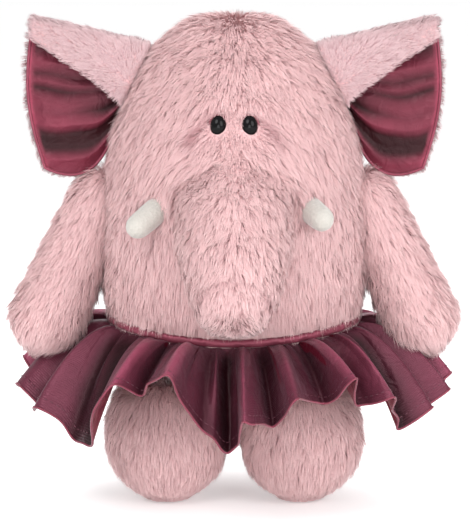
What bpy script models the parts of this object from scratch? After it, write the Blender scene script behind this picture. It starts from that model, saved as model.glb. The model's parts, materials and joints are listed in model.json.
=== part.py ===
"""Stuffed toy elephant in a ruffled satin skirt.

Metres, +Z up. The toy stands on z = 0 and faces -Y; its own left is +X. The origin lies under the
middle of its box. Plush skins are shells sewn from panels round stuffed cores. Arms, legs, ears and
trunk each hang on one joint, and the pieces they are sewn into are cut clear of their whole swing.
"""
import math

import bmesh
import bpy
from mathutils import Matrix, Vector

# ---------------------------------------------------------------- fabric, thread gaps and clearances
SKIN = 0.003               # plush backing with its pile pressed flat
FELT = 0.0012              # short plush of the tusks
SATIN = 0.0007             # one satin ply
GAP = 0.0003               # between pieces that touch
STUFFING_GAP = 0.001       # between a skin and its stuffing
SEAM_GAP = 0.0003          # between two panels of one skin
SWING_GAP = 0.0006         # round a limb's whole swing

# ---------------------------------------------------------------- body, an upright rounded egg
BODY_HALF_WIDTH = 0.0645
BODY_HALF_DEPTH = 0.052
BODY_TOP = 0.246
BODY_WIDEST = 0.128        # height of the widest section
BODY_BOTTOM = 0.052
BODY_SQUARENESS = 2.4      # 2 is an ellipse, more is fuller at the crown and at the seat
SNOUT_RISE = 0.014         # from the trunk's joint to the middle of the bulge that carries it
SNOUT_BULGE = 0.017
SNOUT_SPREAD = 0.48        # radians, seen from the middle of the body

# ---------------------------------------------------------------- trunk
TRUNK_RISE = 0.060         # from the waist to the joint
TRUNK_STANDOFF = 0.0075    # from the joint to the body's skin behind it, less the bulge
TRUNK_ROOT_RADIUS = 0.026
TRUNK_TIP_RADIUS = 0.0165
TIP_FORWARD = 0.021        # from the joint to the middle of the round tip
TIP_RISE = 0.028           # from the waist to the middle of the round tip
TRUNK_OPEN = 0.7           # where the root dome is cut open, as a share of its radius
TIP_SEAM = 0.35            # where the tip's round panel starts, as a share of the tip's radius
TRUNK_RANGE = (-8, 20)     # degrees, lifting is positive

# ---------------------------------------------------------------- arms, for the left one
SHOULDER_DROP = 0.090      # from the crown to the joint
SHOULDER_OUT = 0.0025      # from the body's widest section to the joint
SHOULDER_RADIUS = 0.011
HAND_OUT, HAND_FORWARD = 0.026, 0.006   # from the joint to the middle of the round hand
HAND_RISE = 0.0095         # from the waist to the middle of the round hand
HAND_RADIUS = 0.0165
ARM_SUNK = 0.0045          # how deep the open shoulder end sits from the shoulder's middle
ARM_RANGE = (-25, 50)      # degrees, forward is positive

# ---------------------------------------------------------------- legs, for the left one
LEG_GAP = 0.010            # between the two legs
LEG_Y = -0.003
LEG_HALF_WIDTH = 0.029
LEG_HALF_DEPTH = 0.0305
LEG_SUNK = 0.014           # how far the leg's top reaches up into the seat
LEG_OPEN = 0.0045          # from its top down to its open upper end
LEG_WIDEST = 0.47          # height of its widest section, as a share of its height
LEG_SQUARENESS = 2.5
LEG_RANGE = (-15, 15)
SOLE_THICKNESS = 0.002
SOLE_MARGIN = 0.0012       # from the sole's rim to the skin's cut edge

# ---------------------------------------------------------------- ears, for the left one
EAR_LOW_DROP, EAR_HIGH_DROP = 0.0485, 0.0195   # from the crown to the two ends of the root
EAR_OFF = 0.0022           # from the body's side to the root
EAR_LOBE_PULL = Vector((0.009, -0.0410))       # as (x, z) from the root's low end
EAR_LOBE = Vector((0.0365, -0.0265))            # as (x, z) from the root's low end
EAR_TIP = Vector((0.057, 0.013))               # as (x, z) from the root's high end
EAR_BULGE = 0.005          # how far the outer edge bows out
EAR_Y = -0.002             # the root's place from front to back
EAR_SWEEP = -0.007         # how far forward the outer edge stands
EAR_BACK = 0.0028
EAR_FOLD_RADIUS = 0.0040
EAR_FLAP_ROOT = 0.028      # how far the fold comes down over the front, at the root
EAR_FLAP_TIP = 0.004
EAR_COLUMNS = 6
EAR_MAIN_ROWS, EAR_FOLD_ROWS, EAR_ROWS = 4, 4, 10   # up the front, round the fold, and in all
EAR_RANGE = (-20, 20)      # degrees, forward is positive

# ---------------------------------------------------------------- eyes and tusks
EYE_X, EYE_RISE = 0.0084, 0.0465   # from the middle and from the trunk's joint
EYE_HEIGHT, EYE_WIDTH, EYE_DOME = 0.0092, 0.0074, 0.0028
EYE_RIM = 0.0008
EYE_POST_RADIUS, EYE_POST_LENGTH = 0.0011, 0.0085
WASHER_RADIUS, WASHER_THICKNESS, WASHER_DROP = 0.0048, 0.001, 0.0016
TUSK_OUT, TUSK_RISE = 0.0105, 0.006   # from the trunk root's side and joint to the tusk's base
TUSK_AIM = {"left": Vector((0.42, -0.86, -0.28)), "right": Vector((-0.62, -0.62, -0.48))}
TUSK_LENGTH = {"left": 0.0205, "right": 0.0225}
TUSK_ROOT_RADIUS, TUSK_TIP_RADIUS = 0.0072, 0.0062
TUSK_SUNK = 0.0025         # how deep the tusk's base sits in the skin

# ---------------------------------------------------------------- skirt and waistband
WAIST_RISE = 0.036         # from the seat to the waistband's middle
WAIST_TILT = 0.06          # the waist drops towards the front
BAND_HALF_HEIGHT = 0.003
BAND_WALL = 0.0008
BAND_SLOT = 0.0030         # room inside the binding for the elastic and both plies
BAND_CLEARANCE = 0.0005    # from the binding to the body
SKIRT_TUCK = 0.0045        # how much of the plies lies inside the binding and just below it
SKIRT_LENGTH = 0.052       # from the binding to the hem, along the cloth
SKIRT_DROOP = math.radians(31)
SKIRT_BEND = 0.006         # radius of the turn out of the binding
RUFFLES = 14
RUFFLE_HEIGHT = 0.0085
RUFFLE_GROWTH = 1.25
ELASTIC_WIDTH, ELASTIC_HEIGHT = 0.0018, 0.0014
RUFFLE_FACETS, BAND_STEPS = 4, 40

# ---------------------------------------------------------------- derived places
BODY_CENTRE = Vector((0, 0, BODY_WIDEST))
WAIST_HEIGHT = BODY_BOTTOM + WAIST_RISE
TRUNK_HEIGHT = WAIST_HEIGHT + TRUNK_RISE
SNOUT_WAY = (Vector((0, -BODY_HALF_DEPTH, TRUNK_HEIGHT + SNOUT_RISE)) - BODY_CENTRE).normalized()
SHOULDER = Vector((BODY_HALF_WIDTH + SHOULDER_OUT, 0, BODY_TOP - SHOULDER_DROP))
HAND = Vector((SHOULDER.x + HAND_OUT, -HAND_FORWARD, WAIST_HEIGHT + HAND_RISE))
LEG_TOP = BODY_BOTTOM + LEG_SUNK
LEG_CENTRE = Vector((LEG_HALF_WIDTH + LEG_GAP / 2, LEG_Y, LEG_TOP * LEG_WIDEST))
HIP = Vector((LEG_CENTRE.x, LEG_Y, BODY_BOTTOM))
SIDES = {"left": 1, "right": -1}
X_AXIS, Y_AXIS, Z_AXIS = Vector((1, 0, 0)), Vector((0, 1, 0)), Vector((0, 0, 1))
FAR = 0.5                  # half the size of a half-space cutter
SWING_STEPS = 5
BODY_FACETS, LIMB_FACETS = (26, 16), (16, 8)   # around and from pole to pole


# ================================================================ scene helpers
def clear_scene():
    for old in list(bpy.data.objects):
        bpy.data.objects.remove(old, do_unlink=True)


def collection(name):
    made = bpy.data.collections.new(name)
    bpy.context.scene.collection.children.link(made)
    return made


def material(name, colour, roughness, sheen=0.0):
    made = bpy.data.materials.new(name)
    made.use_nodes = True
    shader = made.node_tree.nodes["Principled BSDF"]
    shader.inputs["Base Color"].default_value = (*colour, 1)
    shader.inputs["Roughness"].default_value = roughness
    shader.inputs["Sheen Weight"].default_value = sheen
    made.diffuse_color = (*colour, 1)
    return made


def fur(name):
    return material(name, (0.78, 0.52, 0.54), 0.95, 0.4)


def satin(name):
    return material(name, (0.22, 0.06, 0.10), 0.4)


def filling(name):
    return material(name, (0.85, 0.85, 0.83), 1.0)


def add(name, bm, finish, group, facing=None):
    """A new object from a bmesh, shaded smooth with sharp edges kept. An open sheet's first face turns
    towards facing; a closed body's faces turn outwards."""
    bm.normal_update()
    bmesh.ops.recalc_face_normals(bm, faces=bm.faces)
    bm.faces.ensure_lookup_table()
    if facing and bm.faces[0].normal.dot(facing) < 0:
        bmesh.ops.reverse_faces(bm, faces=bm.faces)
    mesh = bpy.data.meshes.new(name)
    bm.to_mesh(mesh)
    bm.free()
    mesh.shade_smooth()
    mesh.set_sharp_from_angle(angle=math.radians(40))
    made = bpy.data.objects.new(name, mesh)
    group.objects.link(made)
    if finish:
        mesh.materials.append(finish)
    else:
        made.hide_render, made.display_type = True, "WIRE"
    return made


def hang_on(piece, joint):
    """Parents a piece built in place to the empty on its joint's axis."""
    piece.parent = joint
    piece.matrix_parent_inverse = joint.matrix_world.inverted()


def joint_empty(name, place, group):
    made = bpy.data.objects.new(name, None)
    made.location = place
    made.empty_display_size = 0.02
    group.objects.link(made)
    bpy.context.view_layer.update()
    return made


def inward(piece, thickness):
    """Makes a closed surface a shell with its wall inside."""
    shell = piece.modifiers.new("wall", "SOLIDIFY")
    shell.thickness, shell.offset = thickness, -1


def thicken(piece, thickness, outside, drop):
    """Makes an open sheet a ply on one side of it (outside 1 or -1), drop clear of the sheet."""
    if drop:
        shift = piece.modifiers.new("drop", "DISPLACE")
        shift.strength, shift.mid_level = outside * drop, 0
    wall = piece.modifiers.new("wall", "SOLIDIFY")
    wall.thickness, wall.offset, wall.use_even_offset = thickness, outside, True


def cut(piece, *cutters):
    for cutter in cutters:
        boolean = piece.modifiers.new(cutter.name, "BOOLEAN")
        boolean.operation, boolean.object = "DIFFERENCE", cutter


def mirrored(vector, side):
    return Vector((vector.x * SIDES[side], *vector[1:]))


def aimed(way):
    """A rotation whose +Z is way and whose X stays near the world's X, or its Z where way lies along X."""
    z = way.normalized()
    y = z.cross(Z_AXIS if abs(z.x) > 0.9 else X_AXIS).normalized()
    return Matrix((y.cross(z), y, z)).transposed()


# ================================================================ shapes
def ball(place, around=16, rings=10):
    """A sphere primitive, each point moved to place(unit direction)."""
    bm = bmesh.new()
    bmesh.ops.create_uvsphere(bm, u_segments=around, v_segments=rings, radius=1)
    for v in bm.verts:
        v.co = place(v.co.normalized())
    return bm


def grid(columns, rows, place, wrap=False):
    """A grid primitive mapped by place(u, v), u and v from 0 to 1, closed where its edges meet."""
    bm = bmesh.new()
    bmesh.ops.create_grid(bm, x_segments=columns, y_segments=rows, size=1)
    for v in bm.verts:
        v.co = place((v.co.x + 1) / 2, (v.co.y + 1) / 2)
    if wrap:
        bmesh.ops.remove_doubles(bm, verts=bm.verts, dist=GAP / 10)
    return bm


def turned(name, profile, finish, group, steps=16):
    """A profile of (radius, height), run from the top down its outer side, turned about Z."""
    mesh = bpy.data.meshes.new(name)
    mesh.from_pydata([(r, 0, z) for r, z in profile], [(i, i + 1) for i in range(len(profile) - 1)], [])
    made = bpy.data.objects.new(name, mesh)
    group.objects.link(made)
    screw = made.modifiers.new("turn", "SCREW")
    screw.steps = screw.render_steps = steps
    screw.use_merge_vertices, screw.merge_threshold = True, GAP / 10
    if finish:
        mesh.materials.append(finish)
    else:
        made.hide_render, made.display_type = True, "WIRE"
    return made


def half_space(name, point, way, group):
    """A box that holds everything beyond the plane through point, on the side way points to."""
    bm = bmesh.new()
    bmesh.ops.create_cube(bm, size=2 * FAR)
    bm.transform(Matrix.Translation(point + way.normalized() * FAR) @ aimed(way).to_4x4())
    return add(name, bm, None, group)


def superball(centre, half_width, half_depth, above, below, squareness):
    """place() for a rounded egg: round in plan, squarer than an ellipse from the side."""
    def place(n):
        plan = math.hypot(n.x / half_width, n.y / half_depth)
        height = abs(n.z) / (above if n.z > 0 else below)
        return centre + n * (plan ** squareness + height ** squareness) ** (-1 / squareness)
    return place


def capsule(start, start_radius, end, end_radius, grow=0.0):
    """place() for two balls of their own radii with a straight taper between them."""
    turn = aimed(end - start)

    def place(n):
        ahead = turn @ n
        if n.z > 0:
            return end + ahead * (end_radius + grow)
        return start + ahead * (start_radius + grow)
    return place


def swept(name, place, pivot, axis, angles, group, around=16, rings=10):
    """The convex room that a piece takes through its whole swing about an axis."""
    low, high = angles
    bm = bmesh.new()
    points = ball(place, around, rings)
    for k in range(SWING_STEPS):
        turn = Matrix.Rotation(math.radians(low + (high - low) * k / (SWING_STEPS - 1)), 3, axis)
        for v in points.verts:
            bm.verts.new(pivot + turn @ (v.co - pivot))
    points.free()
    hull = bmesh.ops.convex_hull(bm, input=bm.verts)
    bmesh.ops.delete(bm, geom=list({*hull["geom_interior"], *hull["geom_unused"]}), context="VERTS")
    return add(name, bm, None, group)


# ================================================================ body
body_egg = superball(BODY_CENTRE, BODY_HALF_WIDTH, BODY_HALF_DEPTH, BODY_TOP - BODY_WIDEST,
                     BODY_WIDEST - BODY_BOTTOM, BODY_SQUARENESS)


def body_surface(n):
    """A point of the body's skin: the egg with the snout's bulge on its front."""
    bulge = SNOUT_BULGE * math.exp(-(n.angle(SNOUT_WAY) / SNOUT_SPREAD) ** 2)
    return body_egg(n) + n * bulge


def body_edge(start, way):
    """Where a ray from a point inside the body leaves its skin, found by halving."""
    near, far = 0.0, 2 * BODY_TOP
    for _ in range(30):
        middle = (near + far) / 2
        arm = start + way * middle - BODY_CENTRE
        inside = arm.length < (body_surface(arm.normalized()) - BODY_CENTRE).length
        near, far = (middle, far) if inside else (near, middle)
    return start + way * near


def body_front(x, z):
    return body_edge(Vector((x, 0, z)), -Y_AXIS)


def body_normal(x, z, step=0.002):
    across = body_front(x + step, z) - body_front(x - step, z)
    up = body_front(x, z + step) - body_front(x, z - step)
    return across.cross(up).normalized()


def body_share(height):
    """How wide the body's egg is at a height, as a share of its widest."""
    reach = BODY_TOP - BODY_WIDEST if height > BODY_WIDEST else BODY_WIDEST - BODY_BOTTOM
    return (1 - abs((height - BODY_WIDEST) / reach) ** BODY_SQUARENESS) ** (1 / BODY_SQUARENESS)


def at_ear_root(drop):
    """A point (x, z) beside the head, drop below the crown."""
    return Vector((BODY_HALF_WIDTH * body_share(BODY_TOP - drop) + EAR_OFF, BODY_TOP - drop))


TRUNK_ROOT = Vector((0, -BODY_HALF_DEPTH - TRUNK_STANDOFF, TRUNK_HEIGHT))
TRUNK_TIP = Vector((0, TRUNK_ROOT.y - TIP_FORWARD, WAIST_HEIGHT + TIP_RISE))
TRUNK_WAY = (TRUNK_TIP - TRUNK_ROOT).normalized()
EAR_ROOT_LOW, EAR_ROOT_HIGH = at_ear_root(EAR_LOW_DROP), at_ear_root(EAR_HIGH_DROP)


def at_waist(turn, out, up):
    """A point out from the skin at the binding's top and up from the waist line, turn running from 0 to 1
    from the front."""
    way = Vector((math.sin(turn * math.tau), -math.cos(turn * math.tau), 0))
    height = WAIST_HEIGHT + WAIST_TILT * BODY_HALF_DEPTH * body_share(WAIST_HEIGHT) * way.y
    edge = body_edge(Z_AXIS * (height + BAND_HALF_HEIGHT), way)
    return edge + way * out + Z_AXIS * (up - BAND_HALF_HEIGHT)


# ================================================================ cutters
def limb_cutters(group):
    """For each limb, the room it swings in, as {name: cutter}."""
    made = {"trunk": swept("trunk_room", capsule(TRUNK_ROOT, TRUNK_ROOT_RADIUS, TRUNK_TIP,
                                                 TRUNK_TIP_RADIUS, SWING_GAP),
                           TRUNK_ROOT, -X_AXIS, TRUNK_RANGE, group)}
    for side in SIDES:
        shoulder, hand = mirrored(SHOULDER, side), mirrored(HAND, side)
        made[side + "_arm"] = swept(side + "_arm_room", capsule(shoulder, SHOULDER_RADIUS, hand,
                                                                HAND_RADIUS, SWING_GAP),
                                    shoulder, -X_AXIS, ARM_RANGE, group)
        made[side + "_leg"] = swept(side + "_leg_room", leg_place(side, SWING_GAP),
                                    mirrored(HIP, side), -X_AXIS, LEG_RANGE, group)
    return made


def leg_place(side, grow=0.0):
    centre = mirrored(LEG_CENTRE, side)
    return superball(centre, LEG_HALF_WIDTH + grow, LEG_HALF_DEPTH + grow, LEG_TOP - centre.z + grow,
                     centre.z + grow, LEG_SQUARENESS)


def ear_room(side, ear, axis, pivot, group):
    """The room near the head that a flapping ear takes."""
    bm = bmesh.new()
    low, high = EAR_RANGE
    evaluated = ear.evaluated_get(bpy.context.evaluated_depsgraph_get()).to_mesh()
    grow = 1 + 2 * SWING_GAP / (EAR_BACK + 2 * EAR_FOLD_RADIUS)
    for k in range(SWING_STEPS):
        turn = Matrix.Rotation(math.radians(low + (high - low) * k / (SWING_STEPS - 1)), 3, axis)
        for v in evaluated.vertices:
            point = v.co + v.normal * SWING_GAP
            bm.verts.new(pivot + turn @ (point - pivot) * grow)
    hull = bmesh.ops.convex_hull(bm, input=bm.verts)
    bmesh.ops.delete(bm, geom=list({*hull["geom_interior"], *hull["geom_unused"]}), context="VERTS")
    return add(side + "_ear_room", bm, None, group)


# ================================================================ pieces
def make_body(parts, cutters, rooms):
    """Left and right plush panels round one stuffing core."""
    for side, sign in SIDES.items():
        panel = add(side + "_body_panel", ball(body_surface, *BODY_FACETS), fur(side + "_body_plush"), parts)
        inward(panel, SKIN)
        own = [room for name, room in rooms.items() if name == "trunk" or name.startswith(side)]
        seam = half_space(side + "_body_seam", X_AXIS * (sign * SEAM_GAP / 2), -sign * X_AXIS, cutters)
        cut(panel, *own, seam)
    core = add("body_stuffing", ball(body_surface, *BODY_FACETS), filling("body_fibre"), parts)
    shrink = core.modifiers.new("inside_the_skin", "DISPLACE")
    shrink.strength, shrink.mid_level = -(SKIN + STUFFING_GAP), 0
    cut(core, *rooms.values())


def make_trunk(parts, cutters, joint):
    """Two side panels and a round tip panel round a stuffed cone with an open root."""
    place = capsule(TRUNK_ROOT, TRUNK_ROOT_RADIUS, TRUNK_TIP, TRUNK_TIP_RADIUS)
    root = half_space("trunk_root_cut", TRUNK_ROOT - TRUNK_WAY * TRUNK_ROOT_RADIUS * TRUNK_OPEN,
                      -TRUNK_WAY, cutters)
    seam_at = TRUNK_TIP + TRUNK_WAY * TRUNK_TIP_RADIUS * TIP_SEAM
    beyond = half_space("trunk_tip_cut", seam_at, TRUNK_WAY, cutters)
    before = half_space("trunk_side_cut", seam_at + TRUNK_WAY * SEAM_GAP, -TRUNK_WAY, cutters)
    for side, sign in SIDES.items():
        panel = add(side + "_trunk_panel", ball(place), fur(side + "_trunk_plush"), parts)
        inward(panel, SKIN)
        seam = half_space(side + "_trunk_seam", X_AXIS * (sign * SEAM_GAP / 2), -sign * X_AXIS, cutters)
        cut(panel, root, beyond, seam)
        hang_on(panel, joint)
    tip = add("trunk_tip_panel", ball(place), fur("trunk_tip_plush"), parts)
    inward(tip, SKIN)
    cut(tip, before)
    inside = capsule(TRUNK_ROOT, TRUNK_ROOT_RADIUS, TRUNK_TIP, TRUNK_TIP_RADIUS, -(SKIN + STUFFING_GAP))
    core = add("trunk_stuffing", ball(inside), filling("trunk_fibre"), parts)
    cut(core, root)
    hang_on(tip, joint)
    hang_on(core, joint)


def make_limb(name, place, inside, opening, seam_point, seam_way, parts, cutters, joint):
    """A front and a back plush panel round a stuffed core, both open at the sewn end."""
    for label, sign in (("front", -1), ("back", 1)):
        panel = add(f"{name}_{label}_panel", ball(place, *LIMB_FACETS), fur(f"{name}_{label}_plush"), parts)
        inward(panel, SKIN)
        seam = half_space(f"{name}_{label}_seam", seam_point + seam_way * (sign * SEAM_GAP / 2),
                          -sign * seam_way, cutters)
        cut(panel, *opening, seam)
        hang_on(panel, joint)
    core = add(name + "_stuffing", ball(inside, *LIMB_FACETS), filling(name + "_fibre"), parts)
    cut(core, *opening)
    hang_on(core, joint)


def make_arm(side, parts, cutters):
    shoulder, hand = mirrored(SHOULDER, side), mirrored(HAND, side)
    joint = joint_empty(side + "_arm_joint", shoulder, parts)
    sunk = shoulder - mirrored(X_AXIS, side) * ARM_SUNK
    opening = [half_space(side + "_arm_opening", sunk, -mirrored(X_AXIS, side), cutters)]
    seam_way = (hand - shoulder).cross(Y_AXIS).cross(hand - shoulder).normalized()
    make_limb(side + "_arm", capsule(shoulder, SHOULDER_RADIUS, hand, HAND_RADIUS),
              capsule(shoulder, SHOULDER_RADIUS, hand, HAND_RADIUS, -(SKIN + STUFFING_GAP)),
              opening, shoulder, seam_way, parts, cutters, joint)


def make_leg(side, parts, cutters):
    """A ball-shaped leg on a flat round sole."""
    hip = mirrored(HIP, side)
    joint = joint_empty(side + "_leg_joint", hip, parts)
    top = half_space(side + "_leg_opening", Z_AXIS * (LEG_TOP - LEG_OPEN), Z_AXIS, cutters)
    foot = half_space(side + "_leg_foot_cut", Z_AXIS * (SOLE_THICKNESS + GAP), -Z_AXIS, cutters)
    place = leg_place(side)
    make_limb(side + "_leg", place, leg_place(side, -(SKIN + STUFFING_GAP)), [top, foot], hip, Y_AXIS,
              parts, cutters, joint)
    drop = (LEG_CENTRE.z - SOLE_THICKNESS) / LEG_CENTRE.z
    radius = LEG_HALF_WIDTH * (1 - drop ** LEG_SQUARENESS) ** (1 / LEG_SQUARENESS) - SOLE_MARGIN
    bm = bmesh.new()
    bmesh.ops.create_cone(bm, cap_ends=True, segments=24, radius1=radius, radius2=radius,
                          depth=SOLE_THICKNESS)
    bm.transform(Matrix.Translation((hip.x, hip.y, SOLE_THICKNESS / 2)))
    sole = add(side + "_sole", bm, fur(side + "_sole_plush"), parts)
    hang_on(sole, joint)


def ear_sheet(side):
    """place(u, v): u runs from the root to the outer edge, v from the lower edge up, over the fold and
    down the flap on the front."""
    def flat(point):
        return Vector((point.x * SIDES[side], EAR_Y, point.y))

    main, fold = EAR_MAIN_ROWS / EAR_ROWS, EAR_FOLD_ROWS / EAR_ROWS

    def place(u, v):
        low = flat(EAR_ROOT_LOW + 2 * u * (1 - u) * EAR_LOBE_PULL + u ** 2 * EAR_LOBE)
        high = flat(EAR_ROOT_HIGH + u * EAR_TIP)
        down = (low - high).normalized()
        if v <= main:
            t = v / main
            point = low.lerp(high, t)
            point.x += SIDES[side] * EAR_BULGE * u * u * math.sin(math.pi * t)
        elif v <= main + fold:
            angle = math.pi * (v - main) / fold
            point = high - down * EAR_FOLD_RADIUS * math.sin(angle)
            point.y -= EAR_FOLD_RADIUS * (1 - math.cos(angle))
        else:
            flap = EAR_FLAP_ROOT + (EAR_FLAP_TIP - EAR_FLAP_ROOT) * u
            point = high + down * flap * (v - main - fold) / (1 - main - fold)
            point.y -= 2 * EAR_FOLD_RADIUS
        point.y += EAR_SWEEP * u * u
        return point
    return place


def make_ear(side, parts, cutters):
    """A plush back folded forward at the top with a satin lining inside the fold; returns the room
    that it flaps in."""
    low, high = (Vector((p.x * SIDES[side], EAR_Y - EAR_FOLD_RADIUS, p.y))
                 for p in (EAR_ROOT_LOW, EAR_ROOT_HIGH))
    pivot = (low + high) / 2
    axis = (low - high).normalized() * SIDES[side]
    joint = joint_empty(side + "_ear_joint", pivot, parts)
    plies = {"back": (fur(side + "_ear_plush"), EAR_BACK, 1),
             "lining": (satin(side + "_ear_satin"), SATIN, -1)}
    made = {}
    for label, (finish, thickness, outside) in plies.items():
        sheet = grid(EAR_COLUMNS, EAR_ROWS, ear_sheet(side))
        ply = add(f"{side}_ear_{label}", sheet, finish, parts, facing=Y_AXIS)
        thicken(ply, thickness, outside, GAP if outside < 0 else 0)
        made[label] = ply
    room = ear_room(side, made["back"], axis, pivot, cutters)
    for ply in made.values():
        hang_on(ply, joint)
    return room


def make_eye(side, parts, cutters):
    """An oval dome with a post through the skin, and the lock washer behind it; returns cutters."""
    x, z = SIDES[side] * EYE_X, TRUNK_HEIGHT + EYE_RISE
    seat, way = body_front(x, z), body_normal(x, z)
    place = Matrix.Translation(seat + way * GAP) @ aimed(way).to_4x4()

    def profile(grow, post):
        rim = EYE_HEIGHT / 2 + grow
        dome = [(rim * math.sin(a), EYE_RIM + (EYE_DOME + grow) * math.cos(a))
                for a in (math.radians(22.5 * k) for k in range(5))]
        dome[0] = (0, dome[0][1])
        return dome + [(rim, -grow), (post + grow, -grow), (post + grow, -EYE_POST_LENGTH - grow),
                       (0, -EYE_POST_LENGTH - grow)]

    def disc(radius, top, bottom):
        return [(0, top), (radius, top), (radius, bottom), (0, bottom)]

    eye = turned(side + "_eye", profile(0, EYE_POST_RADIUS),
                 material(side + "_eye_plastic", (0.01, 0.01, 0.01), 0.05), parts)
    hollow = turned(side + "_eye_room", profile(GAP, EYE_POST_RADIUS), None, cutters, 16)
    top = -SKIN - WASHER_DROP
    inner, bottom = EYE_POST_RADIUS + GAP / 2, top - WASHER_THICKNESS
    washer = turned(side + "_eye_washer", [(inner, top), (WASHER_RADIUS, top), (WASHER_RADIUS, bottom),
                                           (inner, bottom), (inner, top)],
                    material(side + "_washer_plastic", (0.9, 0.9, 0.88), 0.5), parts)
    seat_cut = turned(side + "_washer_room", disc(WASHER_RADIUS + GAP, -SKIN, bottom - GAP), None, cutters)
    for piece in (eye, hollow, washer, seat_cut):
        piece.matrix_world = place
    for piece in (eye, hollow):
        piece.scale.x = EYE_WIDTH / EYE_HEIGHT
    return hollow, seat_cut


def make_tusk(side, parts, cutters):
    """A round-ended felt stub, its skin open where it is sewn on, filled; returns its cutter."""
    x, z = SIDES[side] * (TRUNK_ROOT_RADIUS + TUSK_OUT), TRUNK_ROOT.z + TUSK_RISE
    way = TUSK_AIM[side].normalized()
    base = body_front(x, z) - way * TUSK_SUNK
    place = Matrix.Translation(base) @ aimed(way).to_4x4()
    length = TUSK_LENGTH[side] + TUSK_SUNK

    def outline(shrink, foot):
        tip = TUSK_TIP_RADIUS - shrink
        round_end = [(tip * math.sin(a), length - TUSK_TIP_RADIUS + tip * math.cos(a))
                     for a in (math.radians(22.5 * k) for k in range(5))]
        round_end[0] = (0, round_end[0][1])
        return round_end + [(TUSK_ROOT_RADIUS - shrink, foot)]

    skin = turned(side + "_tusk_skin", outline(0, 0) + outline(FELT, 0)[::-1],
                  material(side + "_tusk_felt", (0.86, 0.85, 0.80), 0.9, 0.3), parts)
    core = turned(side + "_tusk_stuffing", outline(FELT + GAP, 0) + [(0, 0)],
                  filling(side + "_tusk_fibre"), parts, 16)
    room = turned(side + "_tusk_room", outline(-GAP, -GAP) + [(0, -GAP)], None, cutters)
    for piece in (skin, core, room):
        piece.matrix_world = place
    return room


def make_waistband(parts):
    """A folded binding, open below, round an elastic and the gathered edge of both plies."""
    outer = 2 * BAND_WALL + BAND_SLOT
    low, high = -BAND_HALF_HEIGHT, BAND_HALF_HEIGHT
    section = [(0, low), (0, high), (outer, high), (outer, low), (outer - BAND_WALL, low),
               (outer - BAND_WALL, high - BAND_WALL), (BAND_WALL, high - BAND_WALL), (BAND_WALL, low)]
    middle = BAND_WALL + BAND_SLOT / 2
    top = high - BAND_WALL - GAP
    strap = [(middle - ELASTIC_WIDTH / 2, top - ELASTIC_HEIGHT), (middle - ELASTIC_WIDTH / 2, top),
             (middle + ELASTIC_WIDTH / 2, top), (middle + ELASTIC_WIDTH / 2, top - ELASTIC_HEIGHT)]
    finishes = {"waistband": (section, satin("binding_satin")),
                "waist_elastic": (strap, material("elastic_rubber", (0.9, 0.9, 0.9), 0.8))}
    for name, (outline, finish) in finishes.items():
        bm = grid(BAND_STEPS, len(outline), ring_place(outline), wrap=True)
        add(name, bm, finish, parts)


def ring_place(outline):
    """place(u, v) for a closed outline of (out, up) carried round the waist."""
    def place(u, v):
        out, up = outline[round(v * len(outline)) % len(outline)]
        return at_waist(u, BAND_CLEARANCE + out, up)
    return place


def skirt_line(run):
    """(out, up) at a run along the cloth from its gathered edge: down out of the binding, round a
    bend, then straight to the hem."""
    middle = BAND_CLEARANCE + BAND_WALL + BAND_SLOT / 2
    top = BAND_HALF_HEIGHT - BAND_WALL - 2 * GAP - ELASTIC_HEIGHT
    turn = math.pi / 2 - SKIRT_DROOP
    bend = SKIRT_BEND * turn
    if run < SKIRT_TUCK:
        return middle, top - run
    angle = min((run - SKIRT_TUCK) / SKIRT_BEND, turn)
    out = middle + SKIRT_BEND * (1 - math.cos(angle))
    up = top - SKIRT_TUCK - SKIRT_BEND * math.sin(angle)
    rest = max(run - SKIRT_TUCK - bend, 0)
    return out + rest * math.cos(SKIRT_DROOP), up - rest * math.sin(SKIRT_DROOP)


def skirt_place(u, v):
    """place(u, v): u goes round the waist from the front, v from the gathered edge to the hem."""
    steps = [0, SKIRT_TUCK, SKIRT_TUCK + SKIRT_BEND * (math.pi / 2 - SKIRT_DROOP)]
    steps += [steps[-1] + (SKIRT_TUCK + SKIRT_LENGTH - steps[-1]) * k / 2 for k in (1, 2)]
    run = steps[round(v * (len(steps) - 1))]
    out, up = skirt_line(run)
    growth = max((run - steps[2]) / (steps[-1] - steps[2]), 0) ** RUFFLE_GROWTH
    wave = RUFFLE_HEIGHT * growth * math.cos(RUFFLES * math.tau * u)
    return at_waist(u, out + wave * math.sin(SKIRT_DROOP), up + wave * math.cos(SKIRT_DROOP))


def make_skirt(parts):
    """Two satin plies, the lining hung inside the outer one."""
    plies = {"skirt_outer": (satin("skirt_satin"), 1), "skirt_lining": (satin("skirt_lining_satin"), -1)}
    for name, (finish, outside) in plies.items():
        bm = grid(RUFFLES * RUFFLE_FACETS, 4, skirt_place, wrap=True)
        ply = add(name, bm, finish, parts, facing=Z_AXIS)
        thicken(ply, SATIN, outside, GAP if outside < 0 else 0)


def main():
    clear_scene()
    parts, cutters = collection("stuffed_elephant"), collection("cutters")
    rooms = limb_cutters(cutters)
    for side in SIDES:
        rooms[side + "_ear"] = make_ear(side, parts, cutters)
        rooms[side + "_eye"], rooms[side + "_washer"] = make_eye(side, parts, cutters)
        rooms[side + "_tusk"] = make_tusk(side, parts, cutters)
        make_arm(side, parts, cutters)
        make_leg(side, parts, cutters)
    make_trunk(parts, cutters, joint_empty("trunk_joint", TRUNK_ROOT, parts))
    make_body(parts, cutters, rooms)
    make_waistband(parts)
    make_skirt(parts)


main()
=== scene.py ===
import json
import math

import bmesh
import bpy
import numpy as np
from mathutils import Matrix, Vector
from mathutils.bvhtree import BVHTree


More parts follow.
